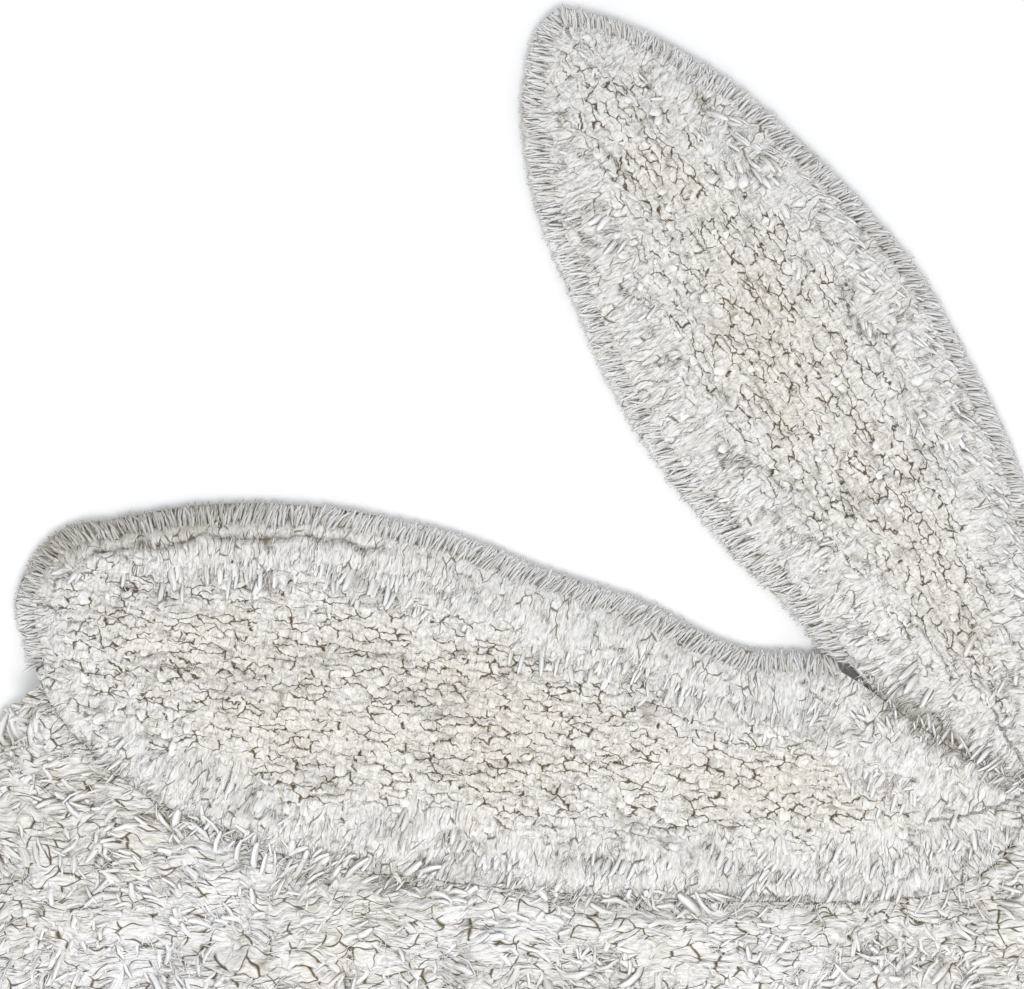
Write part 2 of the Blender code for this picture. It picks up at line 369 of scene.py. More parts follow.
class Panel:
    """One panel's plan: its outline, its border with other panels, and what depends on where a point lies."""

    def __init__(self, name, reach, others, holes, shape, tip, base, flow=None):
        self.name = name
        self.outline = drawn_in(reach, others, shape["lock"])
        self.mat_outline = drawn_in(reach, others, shape["lock"] * MAT_SHORT_OF_RIM)
        self.holes = holes
        self.shape = shape
        self.flow = flow
        self.tip = np.array(tip) - DRAWING_CENTRE
        run = np.array(base) - DRAWING_CENTRE - self.tip
        self.run = run / np.linalg.norm(run)
        self.side = np.array((-self.run[1], self.run[0]))
        self.find_border(others)

    def find_border(self, others):
        """Marks along the border, the way out at each, and how free of other panels it is."""
        marks = np.vstack((self.outline, *self.holes))
        ways = np.vstack((outward(self.outline), *(-outward(hole) for hole in self.holes)))
        keep = self.holds(marks - ways * BORDER_PROBE)
        self.marks, self.ways = marks[keep], ways[keep]
        self.free = np.ones(len(self.marks))
        for other in others:
            gap = np.where(is_inside(self.marks, other), 0.0, nearest(self.marks, other)[1])
            self.free = np.minimum(self.free, smooth_step(gap, *FREE_GAP))

    def hole(self):
        """The gap that this panel leaves in the one around it."""
        return self.outline + outward(self.outline) * PANEL_GAP

    def holds(self, points, outline=None):
        inside = is_inside(points, self.outline if outline is None else outline)
        for hole in self.holes:
            inside &= ~is_inside(points, hole)
        return inside

    def edge(self, points):
        """How far the border is from each point, the way out there, and how free that stretch is."""
        found, away = nearest(points, self.marks)
        return away, self.ways[found], self.free[found]

    def place(self, points):
        """Where each point lies along the panel's run and across it."""
        offset = points - self.tip
        return offset @ self.run, offset @ self.side

    def lumps(self, points):
        """Smooth noise from -1 to 1 that is stretched along the run."""
        along = points @ self.run / self.shape["lump"][0]
        across = points @ self.side / self.shape["lump"][1]
        raw = [noise.noise(Vector((a, b, 0.5))) for a, b in zip(along, across)]
        return np.clip(np.array(raw) * LUMP_CONTRAST, -1.0, 1.0)

    def height(self, points, away, free):
        """The top of the pile: rolled down at the rim, a little lower at the seams, and lumpy in between."""
        pile = self.shape["pile"]
        lumps = self.lumps(points) * self.shape["lump"][2] / 2
        rim = EDGE_HEIGHT + (pile - EDGE_HEIGHT) * roll(away, EDGE_ROLL)
        rim += lumps * np.clip(away / EDGE_ROLL, 0.0, 1.0)
        seam = SEAM_HEIGHT + (pile + lumps - SEAM_HEIGHT) * smooth_step(away, 0.0, SEAM_ROLL)
        return seam + (rim - seam) * free

    def crack(self, points):
        """A field that changes sign at each crack, and how open the cracks are there."""
        cracks = self.shape["cracks"]
        seed = cracks["seed"]
        field = soft_noise(columns(*self.place(points)) / cracks["size"], 1.0, seed)
        dash = layered(points, [(1.0, cracks["dash"], seed + 1), (0.5, COARSE_DASH, seed + 2)])
        return field, smooth_step(dash, cracks["closed"], cracks["closed"] + CRACK_FADE)

    def near_crack(self, points):
        """1 in an open crack, and 0 away from it."""
        field, opened = self.crack(points)
        return np.exp(-((field / CRACK_WIDTH) ** 2)) * opened

    def before_parted(self, along):
        return 1 - smooth_step(along, self.flow["parted"] - PARTING_FADE, self.flow["parted"])

    def parting(self, points):
        """How far inside the border the pile parts: deep near the tip, and a bare fringe further along."""
        along, _ = self.place(points)
        deep = self.flow["parting"] + layered(points, PARTING_SWAY)
        return FRINGE + (deep - FRINGE) * self.before_parted(along)

    def crease(self, points, away, free):
        """1 in the crease along a deep parting, and 0 elsewhere."""
        along, across = self.place(points)
        length = smooth_step(along, *CREASE_START) * self.before_parted(along)
        first = smooth_step(across, *CREASE_SIDE) * free
        return np.exp(-(((away - self.parting(points)) / CREASE_WIDTH) ** 2)) * length * first

    def surface(self, points):
        """The top of the pile at any place, also beyond the border, where the locks hang over."""
        away, _, free = self.edge(points)
        inside = self.holds(points)
        top = self.height(points, np.where(inside, away, 0.0), free)
        fall = np.sqrt(1.0 - np.clip(away / (self.shape["lock"] * OVERHANG), 0.0, 1.0) ** 2)
        hanging = np.where(free > 0.5, EDGE_HEIGHT * fall, SEAM_HEIGHT + OVER_SEAM)
        return np.where(inside, top, hanging)


def lattice(panel, outline, pitch, jitter, rng):
    """Staggered places over a panel out to an outline, each moved a little at random."""
    low, high = outline.min(axis=0), outline.max(axis=0)
    rows = np.arange(low[1], high[1], pitch * math.sqrt(3) / 2)
    marks = np.arange(low[0], high[0] + pitch, pitch)
    x = marks[None, :] + (np.arange(len(rows)) % 2)[:, None] * pitch / 2
    y = np.repeat(rows[:, None], len(marks), axis=1)
    places = columns(x.ravel(), y.ravel())
    places += rng.uniform(-jitter, jitter, places.shape) * pitch
    return places[panel.holds(places, outline)]


def grained_lattice(panel, pitch, jitter, rng):
    """Staggered places in rows along the panel's run, each moved a little at random."""
    along, across = panel.place(panel.outline)
    rows = np.arange(across.min(), across.max(), pitch[1])
    marks = np.arange(along.min(), along.max() + pitch[0], pitch[0])
    u = marks[None, :] + (np.arange(len(rows)) % 2)[:, None] * pitch[0] / 2
    v = np.repeat(rows[:, None], len(marks), axis=1)
    u = u.ravel() + rng.uniform(-jitter, jitter, u.size) * pitch[0]
    v = v.ravel() + rng.uniform(-jitter, jitter, v.size) * pitch[1]
    places = panel.tip + u[:, None] * panel.run + v[:, None] * panel.side
    return places[panel.holds(places)]


def limited(lean, most):
    size = np.linalg.norm(lean, axis=1)
    return lean * np.minimum(1.0, most / np.maximum(size, 1e-9))[:, None]


# How the pile of each ear lies. Directions are shares of the way out of the border and of the ear's run
# from tip to base, so a negative run leans towards the tip.
FRINGE = 0.0100
FRINGE_FRAY = 0.0030
FRAY_WAVES = (9000.0, 7000.0)
NEAR_FLOW = {
    "brush": (-0.16, -0.80),
    "parting": 0.010,
    "parted": 0.235,
    "strip": (0.80, 0.10),
    "comb": (-0.85, -0.12),
    "combed": 0.046,
    "splay": (0.72, -0.50),
    "splayed": 0.052,
    "tip": 0.030,
}
FAR_FLOW = {
    "brush": (-0.62, -0.50),
    "parting": 0.0,
    "parted": 0.0,
    "strip": (0.80, 0.25),
    "comb": (0.55, 0.80),
    "combed": 0.058,
    "splay": (0.80, -0.30),
    "splayed": 0.034,
    "tip": 0.075,
}

# How the pile strays from that: how much and over what distance
EAR_SWIRLS = [(0.30, 0.022), (0.30, 0.070)]
BODY_SWIRLS = [(0.60, 0.042), (0.60, 0.100)]
BODY_DRIFT = np.array((-0.10, -0.15))
BODY_SPLAY = (0.003, 0.040)
FIRST_SIDE = (-0.016, 0.026)
SPLAY_FROM = 0.008
CALMED = 0.85


def swirls(places, layers, seed):
    return sum(amount * noise_pair(places, size, seed + 2 * k) for k, (amount, size) in enumerate(layers))


def ear_lean(panel, places, away, ways, free, seed):
    """Outwards at the rim, combed from the parting on the first side, and brushed one way between."""
    flow = panel.flow
    along, across = panel.place(places)
    past_tip = smooth_step(along, 0.01, 0.02 + 2 * flow["tip"])
    first = (smooth_step(across, *FIRST_SIDE) * free * past_tip)[:, None]
    calm = np.array(flow["brush"]) + swirls(places, EAR_SWIRLS, seed)
    fray = np.sin(places[:, 0] * FRAY_WAVES[0] + places[:, 1] * FRAY_WAVES[1])
    parting = panel.parting(places) + FRINGE_FRAY * fray
    shares = {"strip": (away < parting).astype(float)}
    shares["comb"] = (1 - smooth_step(away, parting, parting + flow["combed"])) * (1 - shares["strip"])
    shares["splay"] = 1 - smooth_step(away, SPLAY_FROM, flow["splayed"])
    leans = {}
    for name, share in shares.items():
        out, down = flow[name]
        leans[name] = (ways * out + panel.run * down) * share[:, None]
    lean = (leans["strip"] + leans["comb"]) * first + leans["splay"] * (1 - first)
    calm_share = 1 - np.clip(np.linalg.norm(lean, axis=1), 0.0, 1.0) * CALMED
    lean = lean + calm * calm_share[:, None]
    return lean / np.maximum(np.linalg.norm(lean, axis=1), 1e-6)[:, None] * LEVEL


def body_lean(panel, places, away, ways, free, seed):
    """Every lock its own way with a loose common drift, and outwards at the rim."""
    calm = swirls(places, BODY_SWIRLS, seed) + BODY_DRIFT
    size = np.linalg.norm(calm, axis=1)[:, None]
    calm = calm / np.maximum(size, 0.02) * (0.70 + 0.18 * smooth_step(size, 0.0, 0.6))
    splay = (1 - smooth_step(away, *BODY_SPLAY)) * free * CALMED
    return limited(ways * splay[:, None] + calm * (1 - splay * 0.7)[:, None], 0.92)


def rim_share(panel, places, away):
    """1 where long combed locks grow, along the rims and at the tip, and 0 where short packed tufts grow."""
    ragged = layered(places, RAGGED_RIM)
    along, _ = panel.place(places)
    width = np.minimum(RIM_WIDTH, RIM_WIDTH_AT_TIP + RIM_WIDENING * along) + ragged
    return 1 - smooth_step(away, width - RIM_FADE, width + RIM_FADE)


def thinned(places, share, rng):
    return places[rng.uniform(0.0, 1.0, len(places)) < share]


def ear_locks(panel, seed):
    """An ear's broad inner locks, stopped at cracks, and its slender rim locks."""
    rng = np.random.default_rng(seed)
    inner = grained_lattice(panel, INNER_PITCH, INNER_JITTER, rng)
    share = rim_share(panel, inner, panel.edge(inner)[0])
    inner = thinned(inner[share < rng.uniform(*INNER_UP_TO, len(inner))], INNER_SHARE, rng)
    outer = lattice(panel, panel.outline, RIM_PITCH, RIM_JITTER, rng)
    share = rim_share(panel, outer, panel.edge(outer)[0])
    outer = thinned(outer[share > rng.uniform(*RIM_FROM, len(outer))], RIM_SHARE, rng)
    outer = np.vstack((outer, rim_places(panel, RIM_PITCH * 0.5, FRINGE_DEPTHS, rng)))
    found = []
    for number, (places, style) in enumerate(((inner, INNER_STYLE), (outer, RIM_STYLE))):
        lean = ear_lean(panel, places, *panel.edge(places), seed + number + 9)
        lean = limited(lean + rng.normal(0.0, style["stray"], lean.shape), 0.95)
        found.append(laid_locks(panel, places, style, lean, seed + number + 1))
    return found


def stopped(panel, places, across):
    """The locks' reaches, cut short where an open crack crosses their way."""
    here, open_here = panel.crack(places)
    there, _ = panel.crack(places + across)
    share = np.abs(here) / np.maximum(np.abs(here) + np.abs(there), 1e-9)
    cut = (here * there < 0) & (open_here > 0.5)
    return across * np.where(cut, np.clip(share, 0.30, 1.0), 1.0)[:, None]


# Where the pile is greyer or browner, or brighter, than around: dirt in the brown tuft and the soiled rim,
# painted shade in the grey band, the grey tip and the crevice, and painted light in the bright fleece. Place
# in the photograph, in pixels, reach along and across, slope of the long way in degrees, and how much, from
# -1 (dark) to 1 (painted light)
SPOTS = [
    # spot, column, row, along, across, slope, amount
    # Painted shade: the near ear's upper rim and its tip face away from the lamp
    ("grey band along the near ear's upper rim", 190, 520, 200, 16, 7, -0.75),
    ("grey tip of the near ear", 52, 560, 50, 16, 40, -0.65),
    ("brown tuft in the far ear's right rim", 803, 152, 16, 9, -40, -1.0),
    ("soiled left rim of the far ear, upper", 524, 95, 26, 7, -80, -0.8),
    ("soiled left rim of the far ear, lower", 612, 410, 60, 10, -62, -0.45),
    # Painted shade in the crevice between the ears
    ("crevice between the ears", 935, 730, 80, 8, -33, -0.9),
    # Painted light: brightened patches of fleece
    ("fleece in painted light below the near ear's tip", 195, 925, 95, 42, 38, 1.0),
    ("fleece in painted light at the lower left", 60, 965, 80, 30, 10, 0.6),
    ("fleece in painted light at the bottom", 480, 930, 110, 26, 5, 0.7),
    ("fleece in painted light at the lower right", 800, 960, 130, 26, 0, 0.5),
]
SHADE_FRAY = 0.30


def shade(places, rng):
    """From 0 (dark: dirt, or painted shade) to 1 (painted light), with 0.5 where the pile has its own colour.
    """
    column = (places[:, 0] + DRAWING_CENTRE[0]) / PIXEL + DRAWING_ZERO_PIXEL[0]
    row = DRAWING_ZERO_PIXEL[1] - (places[:, 1] + DRAWING_CENTRE[1]) / PIXEL
    total = np.zeros(len(places))
    for _, spot_column, spot_row, along, across, slope, amount in SPOTS:
        turn = math.radians(slope)
        x, y = column - spot_column, spot_row - row
        u = (x * math.cos(turn) + y * math.sin(turn)) / along
        v = (y * math.cos(turn) - x * math.sin(turn)) / across
        total += amount * np.exp(-(u**4) - v**2)
    fray = 1 + rng.uniform(-SHADE_FRAY, SHADE_FRAY, len(places))
    return 0.5 + 0.5 * np.clip(total * fray, -1.0, 1.0)


def laid_locks(panel, places, style, lean, seed):
    """Long locks that lie on the pile like thatch, each from its root towards where it leans."""
    rng = np.random.default_rng(seed)
    count = len(places)
    away, ways, free = panel.edge(places)
    slope = np.linalg.norm(lean, axis=1)
    root_height = panel.surface(places) * style["root"]
    length = style["length"] * rng.uniform(*LENGTHS, count)
    across = lean * length[:, None]

    reach = panel.shape["lock"] * rng.uniform(*REACHES, count)
    across = held_back(across, ways, np.where(free > 0.5, away + reach, away + OVER_REACH))
    if style["cracked"]:
        across = stopped(panel, places, across)
    sideways = columns(-lean[:, 1], lean[:, 0]) / np.maximum(slope, 0.2)[:, None]
    curl = rng.normal(0.0, style["curl"], count)[:, None] * sideways
    bend_plan = places + across * BEND_AT + curl
    tip_plan = places + across - curl * TIP_CURL
    tip_height = np.minimum(panel.surface(tip_plan), root_height + length)
    tip_height += rng.normal(0.0, style["ragged"], count)
    tip_height = np.maximum(tip_height, rng.uniform(*LEAST_HEIGHT, count))
    laid = panel.surface(bend_plan) + style["loft"] * rng.uniform(*LOFTS, count)
    straight = root_height + (tip_height - root_height) * STRAIGHT_BEND
    bend_height = np.maximum(straight + (laid - straight) * style["laid"], root_height + LEAST_BEND)
    thinning = style["rim_thinning"] * (1 - smooth_step(away, *THINNED_TO))
    size = rng.uniform(*style["sizes"], count) * (1 - thinning)
    return {
        "root": columns(places, root_height),
        "bend": columns(bend_plan, bend_height),
        "tip": columns(tip_plan, tip_height),
        "wide": columns(
            sideways + rng.normal(0.0, WIDE_SWAY, (count, 2)),
            rng.normal(0.0, style["twist"], count),
        ),
        "width": style["width"] * size,
        "thickness": style["width"] * size * style["flatness"] * rng.uniform(*THICKNESSES, count),
        "tint": rng.uniform(0.0, 1.0, count),
        "warm": panel.shape["warmth"](places, away),
        "shade": shade(places, rng),
    }


def held_back(step, ways, limit):
    """The step, cut short where it would reach further out of the border than the limit."""
    out = (step * ways).sum(axis=1)
    return step - ways * np.clip(out - limit, 0.0, None)[:, None]


def rim_places(panel, pitch, depths, rng):
    """Places in rows close behind the free border, so that the fringe is dense."""
    rows = []
    keep = panel.free > 0.4
    ways = panel.ways[keep]
    side = columns(-ways[:, 1], ways[:, 0])
    for depth in depths:
        for _ in range(max(1, round(OUTLINE_PITCH / pitch))):
            probe = panel.marks[keep] - ways * (depth * rng.uniform(*DEPTH_SPREAD, (len(ways), 1)))
            rows.append(probe + side * rng.uniform(-OUTLINE_PITCH / 2, OUTLINE_PITCH / 2, (len(probe), 1)))
    rows = np.vstack(rows)
    return rows[panel.holds(rows)]


def loose_fibres(panel, lean_seed, seed):
    """Single fibres that have come away from their locks and lie on the pile, roughly along it."""
    style = panel.shape["fibres"]
    rng = np.random.default_rng(seed)
    low, high = panel.outline.min(axis=0), panel.outline.max(axis=0)
    places = rng.uniform(low, high, (style["count"] * FIBRE_TRIES, 2))
    places = places[panel.holds(places)]
    chance = style["share"](panel, places, panel.edge(places)[0])
    places = places[chance > rng.uniform(0.0, 1.0, len(places))][: style["count"]]
    count = len(places)
    away, ways, free = panel.edge(places)
    lean = panel.shape["lean"](panel, places, away, ways, free, lean_seed)
    heading = np.arctan2(lean[:, 1], lean[:, 0]) + rng.normal(0.0, style["stray"], count)
    length = style["length"] * rng.uniform(*FIBRE_LENGTHS, count)
    step = columns(np.cos(heading), np.sin(heading)) * length[:, None]
    step = held_back(step, ways, np.where(free > 0.5, away + panel.shape["lock"], away + OVER_REACH))
    side = columns(-step[:, 1], step[:, 0]) * rng.normal(0.0, FIBRE_BEND, count)[:, None]
    bend_plan = places + step * 0.5 + side
    tip_plan = places + step
    lift = style["lift"]
    bend_height = panel.surface(bend_plan) + lift * rng.uniform(*BEND_LIFTS, count)
    tip_height = panel.surface(tip_plan) + lift * rng.uniform(*TIP_LIFTS, count)
    size = style["width"] * rng.uniform(*FIBRE_WIDTHS, count)
    return {
        "root": columns(places, panel.surface(places) - FIBRE_SINK),
        "bend": columns(bend_plan, bend_height),
        "tip": columns(tip_plan, np.maximum(tip_height, LEAST_HEIGHT[0])),
        "wide": columns(side, np.zeros(count)) + np.array((0.0, 0.0, 1e-4)),
        "width": size,
        "thickness": size,
        "tint": rng.uniform(0.3, 1.0, count),
        "warm": panel.shape["warmth"](places, away),
        "shade": shade(places, rng),
    }


def body_locks(panel, style, seed):
    """The loose locks of the body, closest where the photograph shows them."""
    rng = np.random.default_rng(seed)
    places = lattice(panel, panel.outline, style["pitch"], SHAG_JITTER, rng)
    places = thinned(places, body_density(places), rng)
    places = np.vstack((places, rim_places(panel, style["pitch"] * 0.5, SHAG_FRINGE_DEPTHS, rng)))
    lean = body_lean(panel, places, *panel.edge(places), BODY_LEAN_SEED)
    lean = limited(lean + rng.normal(0.0, style["stray"], lean.shape), 0.93)
    return laid_locks(panel, places, style, lean, seed + 1)


def lock_rings(locks, sides, stations, seed):
    """Closed locks: a point at the root, rings across the lock at the stations, and a point at the tip."""
    root, bend, tip = locks["root"], locks["bend"], locks["tip"]
    count = len(root)
    rng = np.random.default_rng(seed)
    coords = np.empty((count, 2 + sides * len(stations), 3))
    grain = np.empty_like(coords)
    start = rng.uniform(0.0, 1.0, (count, 3))
    length = np.linalg.norm(tip - root, axis=1)
    coords[:, 0], coords[:, -1] = root, tip
    grain[:, 0] = start
    grain[:, -1] = start
    grain[:, -1, 2] += length * GRAIN_STRETCH
    uneven = 1 + rng.uniform(-UNEVEN, UNEVEN, (count, sides))
    for ring, (t, share) in enumerate(stations):
        centre = root * (1 - t) ** 2 + bend * (2 * t * (1 - t)) + tip * t**2
        along = (bend - root) * (1 - t) + (tip - bend) * t
        along /= np.linalg.norm(along, axis=1)[:, None]
        wide = locks["wide"] - along * (locks["wide"] * along).sum(axis=1)[:, None]
        wide /= np.linalg.norm(wide, axis=1)[:, None]
        thick = np.cross(along, wide)
        for corner in range(sides):
            angle = 2 * math.pi * corner / sides
            a = locks["width"] / 2 * share * math.cos(angle) * uneven[:, corner]
            b = locks["thickness"] / 2 * share * math.sin(angle) * uneven[:, corner]
            index = 1 + ring * sides + corner
            coords[:, index] = centre + wide * a[:, None] + thick * b[:, None]
            grain[:, index] = start + columns(a, b, length * t * GRAIN_STRETCH)
    return coords, grain


def store(mesh, values):
    """Keep values at the mesh's points, where the material reads them."""
    for name, value in values.items():
        kind, label = ("FLOAT_VECTOR", "vector") if value.ndim > 1 else ("FLOAT", "value")
        layer = mesh.attributes.new(name, kind, "POINT")
        layer.data.foreach_set(label, value.astype(np.float32).ravel())


def linked(name, mesh):
    obj = bpy.data.objects.new(name, mesh)
    bpy.context.scene.collection.objects.link(obj)
    return obj


def grown(name, locks, style, seed, material):
    """One mesh of all the locks, with what the material needs to know at each of their points."""
    sides, stations = style["sides"], style["stations"]
    coords, grain = lock_rings(locks, sides, stations, seed)
    count, stride, _ = coords.shape

    faces = []
    last = 1 + (len(stations) - 1) * sides
    for corner in range(sides):
        after = (corner + 1) % sides
        faces.append((0, 1 + after, 1 + corner))
        for low in range(1, last, sides):
            faces.append((low + corner, low + after, low + sides + after, low + sides + corner))
        faces.append((last + corner, last + after, stride - 1))

    sizes = np.tile([len(f) for f in faces], count)
    flat = np.concatenate([np.array(f) for f in faces])
    loops = (flat[None, :] + (np.arange(count) * stride)[:, None]).ravel()
    mesh = bpy.data.meshes.new(name)
    mesh.vertices.add(count * stride)
    mesh.vertices.foreach_set("co", coords.astype(np.float32).ravel())
    mesh.loops.add(len(loops))
    mesh.loops.foreach_set("vertex_index", loops.astype(np.int32))
    mesh.polygons.add(len(sizes))
    starts = np.concatenate(([0], np.cumsum(sizes)[:-1]))
    mesh.polygons.foreach_set("loop_start", starts.astype(np.int32))
    mesh.polygons.foreach_set("use_smooth", np.ones(len(sizes), dtype=bool))
    mesh.update(calc_edges=True)
    mesh.validate()
    depth = np.concatenate(([0.0], np.repeat([t for t, _ in stations], sides), [1.0]))
    values = {"grain": grain, "depth": np.tile(depth, count)}
    values.update({label: np.repeat(locks[label], stride) for label in ("tint", "warm", "shade")})
    store(mesh, values)
    mesh.materials.append(material)
    return linked(name, mesh)


def slab_mesh(name, panel, outline, pitch, heights_of, floor):
    """A closed slab over the panel's plan: a top at the given heights and a flat underside."""
    rng = np.random.default_rng(MAT_SEED)
    places = lattice(panel, outline, pitch, MAT_JITTER, rng)
    places = places[nearest(places, np.vstack((outline, *panel.holes)))[1] > pitch * MAT_CLEARANCE]
    points = []
    edges = []
    for loop in (outline, *panel.holes):
        first = len(points)
        points += [Vector(p) for p in loop]
        edges += [(first + k, first + (k + 1) % len(loop)) for k in range(len(loop))]
    points += [Vector(p) for p in places]
    plan, _, triangles, *_ = delaunay_2d_cdt(points, edges, [], 0, 1e-6)
    plan = np.array([tuple(p) for p in plan])
    middles = np.array([plan[list(t)].mean(axis=0) for t in triangles])
    keep = panel.holds(middles, outline)
    heights = heights_of(panel, plan)
    bm = bmesh.new()
    verts = [bm.verts.new((x, y, z)) for (x, y), z in zip(plan, heights)]
    for triangle, kept in zip(triangles, keep):
        if kept:
            bm.faces.new([verts[k] for k in triangle]).smooth = True
    bmesh.ops.delete(bm, geom=[v for v in bm.verts if not v.link_faces], context="VERTS")
    wall = bmesh.ops.extrude_edge_only(bm, edges=[e for e in bm.edges if e.is_boundary])["geom"]
    for item in wall:
        if isinstance(item, bmesh.types.BMVert):
            item.co.z = floor
    bmesh.ops.contextual_create(bm, geom=[e for e in bm.edges if e.is_boundary])
    bmesh.ops.recalc_face_normals(bm, faces=bm.faces)
    mesh = bpy.data.meshes.new(name)
    bm.to_mesh(mesh)
    bm.free()
    return linked(name, mesh)


def cloth_heights(panel, plan):
    return np.full(len(plan), CLOTH_THICKNESS)


def mat_heights(panel, plan):
    """Just below the top of the pile, uneven, and lower along open cracks and in a parting's crease."""
    away, _, free = panel.edge(plan)
    drop = panel.shape["drop"] + layered(plan, MAT_RELIEF) + CRACK_DROP * panel.near_crack(plan)
    drop = drop * np.where(panel.holds(plan), 1.0, PAST_BORDER_SHARE) + layered(plan, panel.shape["relief"])
    if panel.flow:
        drop = drop + CREASE_DROP * panel.crease(plan, away, free)
    return np.maximum(panel.surface(plan) - drop, MAT_FLOOR + MAT_LEAST)


def strand_plan(outline, points):
    """How far along an outline each point lies, and how far from it."""
    ends = np.roll(outline, -1, axis=0)
    shares = np.arange(FINE_STEPS) / FINE_STEPS
    fine = (outline[:, None, :] + (ends - outline)[:, None, :] * shares[None, :, None]).reshape(-1, 2)
    run = np.roll(fine, -1, axis=0) - fine
    steps = np.linalg.norm(run, axis=1)
    start = np.concatenate(([0.0], np.cumsum(steps)[:-1]))
    found, away = nearest(points, fine)
    beyond = ((points - fine[found]) * run[found]).sum(axis=1) / steps[found]
    return columns(start[found] + beyond, away, np.zeros(len(points)))


def mat_mesh(panel, material):
    """The matted yarn that the locks lie on, darkened by painted shade along open cracks and in a parting's
    crease.
    """
    shape = panel.shape
    outline = panel.mat_outline
    obj = slab_mesh(panel.name + "_matted_yarn", panel, outline, shape["pitch"], mat_heights, MAT_FLOOR)
    coords = np.empty(len(obj.data.vertices) * 3)
    obj.data.vertices.foreach_get("co", coords)
    coords = coords.reshape(-1, 3)
    plan = coords[:, :2]
    away, _, free = panel.edge(plan)
    # Painted shade: the depth value, and so the colour, drops along open cracks and in a parting's crease
    depth = shape["light"] + layered(plan, MAT_SHADE) - CRACK_SHADE * panel.near_crack(plan)
    if panel.flow:
        depth -= CREASE_SHADE * panel.crease(plan, away, free)
    along, across = panel.place(plan)
    stretch = shape["stretch"]
    values = {
        "grain": columns(along * stretch[0], across * stretch[1], coords[:, 2]),
        "plan": columns(along, across, np.zeros(len(plan))),
        "strand": strand_plan(outline, plan),
        "depth": depth,
        "tint": np.full(len(plan), 0.5),
        "warm": shape["warmth"](plan, away),
        "shade": shade(plan, np.random.default_rng(43)),
        "inner": 1 - rim_share(panel, plan, away),
    }
    store(obj.data, values)
    obj.data.materials.append(material)
    return obj


class Look:
    """A material, with short ways to add nodes to it."""

    def __init__(self, name):
        self.material = bpy.data.materials.new(name)
        self.material.use_nodes = True
        self.tree = self.material.node_tree
        self.shader = self.tree.nodes["Principled BSDF"]

    def feed(self, node, inputs):
        """Link each named input to another node's output, or set it to a number, a place or a colour."""
        for label, value in inputs.items():
            socket = node.inputs[label]
            if isinstance(value, bpy.types.NodeSocket):
                self.tree.links.new(value, socket)
            else:
                socket.default_value = (*value, 1.0) if socket.type == "RGBA" else value

    def add(self, kind, inputs, output, **settings):
        node = self.tree.nodes.new("ShaderNode" + kind)
        for label, value in settings.items():
            setattr(node, label, value)
        self.feed(node, inputs)
        return node.outputs[output]

    def attribute(self, name, output="Fac"):
        return self.add("Attribute", {}, output, attribute_name=name)

    def ramp(self, value, stops):
        node = self.tree.nodes.new("ShaderNodeValToRGB")
        self.feed(node, {"Fac": value})
        elements = node.color_ramp.elements
        while len(elements) < len(stops):
            elements.new(0.5)
        for element, (place, colour) in zip(elements, stops):
            element.position = place
            element.color = (*colour, 1.0)
        return node.outputs["Color"]

    def mix(self, factor, first, second, kind="MIX"):
        return self.add("Mix", {0: factor, 6: first, 7: second}, 2, data_type="RGBA", blend_type=kind)

    def darkened(self, colour, value, stops):
        """The colour, multiplied by what a ramp makes of the value."""
        return self.mix(1.0, colour, self.ramp(value, stops), "MULTIPLY")

    def number(self, operation, first, second):
        return self.add("Math", {0: first, 1: second}, "Value", operation=operation)

    def vector(self, operation, first, second):
        return self.add("VectorMath", {0: first, 1: second}, "Vector", operation=operation)

    def noise(self, vector, scale, detail, output="Fac"):
        return self.add("TexNoise", {"Scale": scale, "Detail": detail, "Vector": vector}, output)

    def cells(self, vector, feature, output):
        inputs = {"Scale": 1.0, "Vector": vector}
        if feature == "SMOOTH_F1":
            inputs["Smoothness"] = CELL_SMOOTHNESS
        return self.add("TexVoronoi", inputs, output, voronoi_dimensions="2D", feature=feature)

    def eased(self, value, source, target):
        inputs = dict(zip(("From Min", "From Max", "To Min", "To Max"), (*source, *target)), Value=value)
        return self.add("MapRange", inputs, "Result", interpolation_type="SMOOTHSTEP")

    def bump(self, height, strength, distance, under=None):
        inputs = {"Strength": strength, "Distance": distance, "Height": height}
        if under:
            inputs["Normal"] = under
        return self.add("Bump", inputs, "Normal")


# Colours by which others are multiplied, over a range of a value
WHITE = (1.0, 1.0, 1.0)
TINT_STOPS = [(0.0, (0.95, 0.94, 0.92)), (1.0, WHITE)]
# Dark spots: dirt in some, painted shade in others
SOIL_AND_SHADE_STOPS = [(0.0, (0.52, 0.49, 0.42)), (0.5, WHITE)]
# Painted shade in creases
CREASE_STOPS = [(0.08, (0.52, 0.47, 0.40)), (0.38, WHITE)]
STREAK_STOPS = [(0.36, (0.87, 0.855, 0.83)), (0.50, WHITE)]
CLEFT_STOPS = [(0.34, (0.84, 0.82, 0.78)), (0.44, WHITE)]
STRAND_STOPS = [(0.36, (0.87, 0.86, 0.84)), (0.56, WHITE)]
CELL_STOPS = [(0.2, (0.95, 0.945, 0.93)), (0.8, WHITE)]
THREAD_STOPS = [(0.0, (0.42, 0.38, 0.31)), (1.0, (0.74, 0.70, 0.62))]
# Painted light: the white that bright spots are mixed towards
PAINTED_LIGHT_WHITE = (0.90, 0.90, 0.92)
CREASE_REACH = 0.0020
CELL_SMOOTHNESS = 0.45
HINT_WIDTH = 0.10
OPENING_FADE = 0.16
LEAST_BORDER = 0.0005
FINE_SCALE = 900.0
COARSE_SCALE = 420.0
